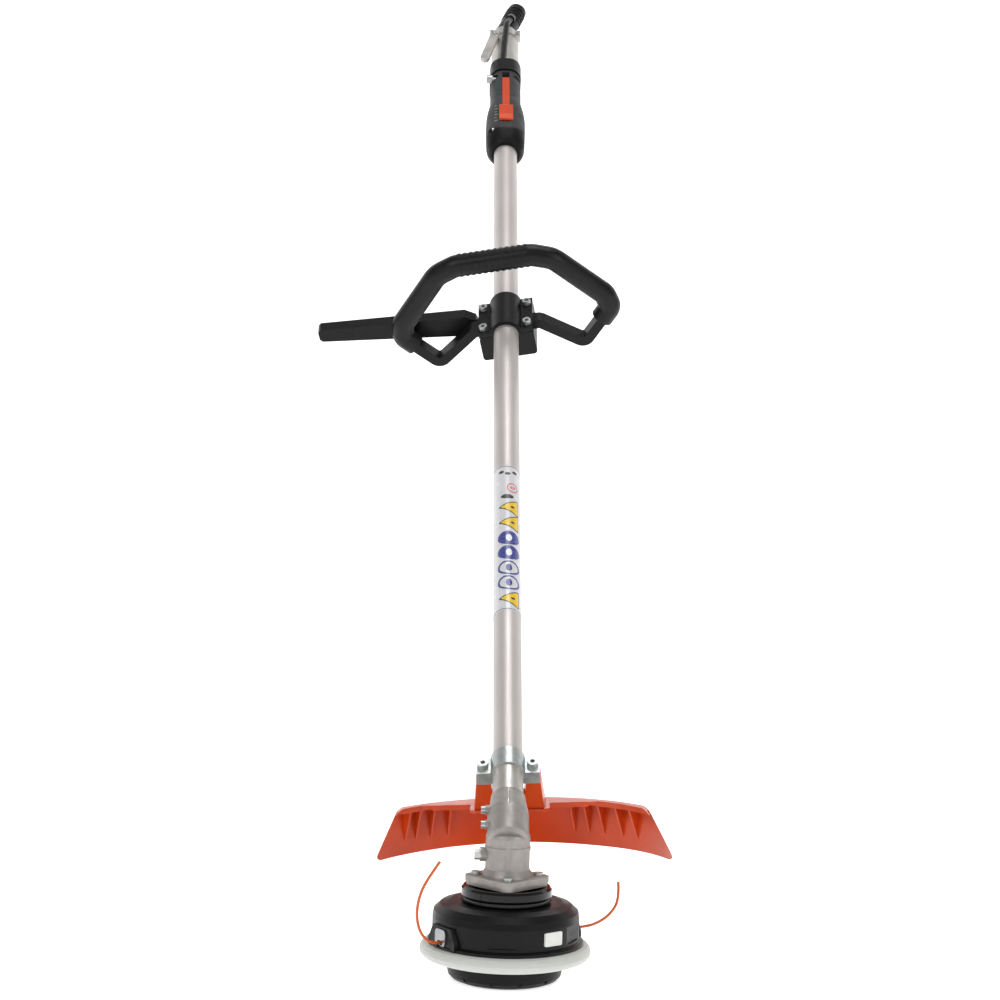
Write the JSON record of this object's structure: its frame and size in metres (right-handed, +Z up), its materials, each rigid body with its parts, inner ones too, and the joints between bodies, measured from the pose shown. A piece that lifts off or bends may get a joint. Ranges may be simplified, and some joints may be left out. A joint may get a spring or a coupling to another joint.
{
  "type": "string trimmer",
  "caption": "Split-boom string trimmer with bump-feed line head, angle gearbox, curved deflector, loop handle with barrier bar and throttle handle.",
  "frame": {"origin": "centre of the bump knob's flat ground face, on the spindle axis", "axes": "+Z up along the spindle, +Y from the head back along the boom, which rises 35 degrees, +X to the side away from the barrier bar"},
  "size_m": [0.3705, 1.3179, 1.0069],
  "materials": {
    "tube_aluminium": "satin drawn",
    "cast_aluminium": "sand cast, bead blasted",
    "zinc_steel": "bright zinc plated",
    "steel": "ground",
    "hard_steel": "hardened, oiled",
    "orange_plastic": "moulded, semi-gloss",
    "orange_line": "drawn nylon",
    "black_plastic": "moulded, fine texture",
    "gloss_black": "glossy",
    "grey_plastic": "moulded, fine texture",
    "ring_plastic": "moulded",
    "window_plastic": "moulded",
    "label_film": "printed film",
    "rubber": "moulded, ribbed",
    "coupling_metal": "die cast, satin"
  },
  "bodies": {
    "boom": {"drive_tube": "tube_aluminium", "shaft_bushes": "black_plastic", "tube_sleeve": "coupling_metal", "info_label": "label_film", "output_bearing_outers": "steel", "pinion_bearing_outers": "steel", "gearbox_housing": "cast_aluminium", "flange_screws": "zinc_steel", "bearing_cover": "cast_aluminium", "output_seal": "rubber", "grease_plug": "zinc_steel", "plug_washer": "zinc_steel", "neck_screws": "zinc_steel", "deflector": "orange_plastic", "clamp_band": "zinc_steel", "clamp_saddle": "zinc_steel", "clamp_bolts": "zinc_steel", "handle_shell_right": "grey_plastic", "handle_shell_left": "grey_plastic", "handle_collar": "black_plastic", "shell_screws": "zinc_steel", "side_screw": "zinc_steel", "lever_pins": "steel", "coupling_sleeve": "coupling_metal", "coupling_collar": "coupling_metal", "collar_screws": "zinc_steel", "latch_pin": "zinc_steel", "hose_boot": "rubber", "cable_sleeve": "rubber"},
    "head": {"output_gear": "hard_steel", "output_bearing_inners": "steel", "output_shaft": "steel", "gear_spacer": "steel", "wrap_guard": "gloss_black", "head_housing": "black_plastic", "arbor_nut": "zinc_steel", "eyelets": "steel", "spool_window": "window_plastic", "head_cap": "ring_plastic", "line_left": "orange_line", "line_right": "orange_line"},
    "bump_cup": {"spring_cup": "steel", "bump_spring": "hard_steel"},
    "spool_set": {"spool": "black_plastic", "wound_line": "orange_line", "bump_knob": "black_plastic"},
    "drive": {"drive_shaft": "steel", "bevel_pinion": "hard_steel", "pinion_bearing_inners": "steel"},
    "loop": {"handle_loop": "black_plastic", "loop_grip": "rubber", "grip_liner": "rubber", "upper_clamp": "black_plastic", "lower_clamp": "black_plastic", "loop_screws": "zinc_steel", "barrier_bar": "black_plastic"},
    "trigger": {"throttle_trigger": "black_plastic"},
    "lockout": {"trigger_lockout": "black_plastic"},
    "slider": {"slide_control": "orange_plastic"},
    "latch": {"latch_lever": "coupling_metal"}
  },
  "joints": [
    {"name": "head_spin", "type": "hinge", "parent": "boom", "child": "head", "pos_m": [0, 0, 0.08], "axis": [0, 0, 1], "continuous": true},
    {"name": "bump_press", "type": "slide", "parent": "head", "child": "bump_cup", "axis": [0, 0, 1], "range_m": [0, 0.005], "stiffness_N_per_m": 1500, "springref_m": -0.008, "deforming": ["bump_spring"]},
    {"name": "spool_wind", "type": "hinge", "parent": "bump_cup", "child": "spool_set", "pos_m": [0, 0, 0.03], "axis": [0, 0, 1], "continuous": true},
    {"name": "drive_spin", "type": "hinge", "parent": "boom", "child": "drive", "pos_m": [0, 0, 0.135], "axis": [0, 0.8192, 0.5736], "continuous": true},
    {"name": "loop_adjust", "type": "slide", "parent": "boom", "child": "loop", "axis": [0, 0.8192, 0.5736], "range_m": [-0.08, 0.08]},
    {"name": "trigger_pull", "type": "hinge", "parent": "boom", "child": "trigger", "pos_m": [0, 0.99364, 0.80634], "axis": [1, 0, 0], "range_deg": [0, 10], "stiffness_Nm_per_rad": 0.6, "springref_deg": -17.19},
    {"name": "lockout_press", "type": "hinge", "parent": "boom", "child": "lockout", "pos_m": [0, 1.08128, 0.86771], "axis": [-1, 0, 0], "range_deg": [0, 8], "stiffness_Nm_per_rad": 0.4, "springref_deg": -17.19},
    {"name": "slide_move", "type": "slide", "parent": "boom", "child": "slider", "axis": [0, 0.8192, 0.5736], "range_m": [0, 0.014]},
    {"name": "latch_swing", "type": "hinge", "parent": "boom", "child": "latch", "pos_m": [-0.0136, 1.1419, 0.95898], "axis": [0, -0.5736, 0.8192], "range_deg": [-50, 6]}
  ],
  "couplings": [
    {"joint": "drive_spin", "follows": "head_spin", "ratio": 1.4}
  ]
}
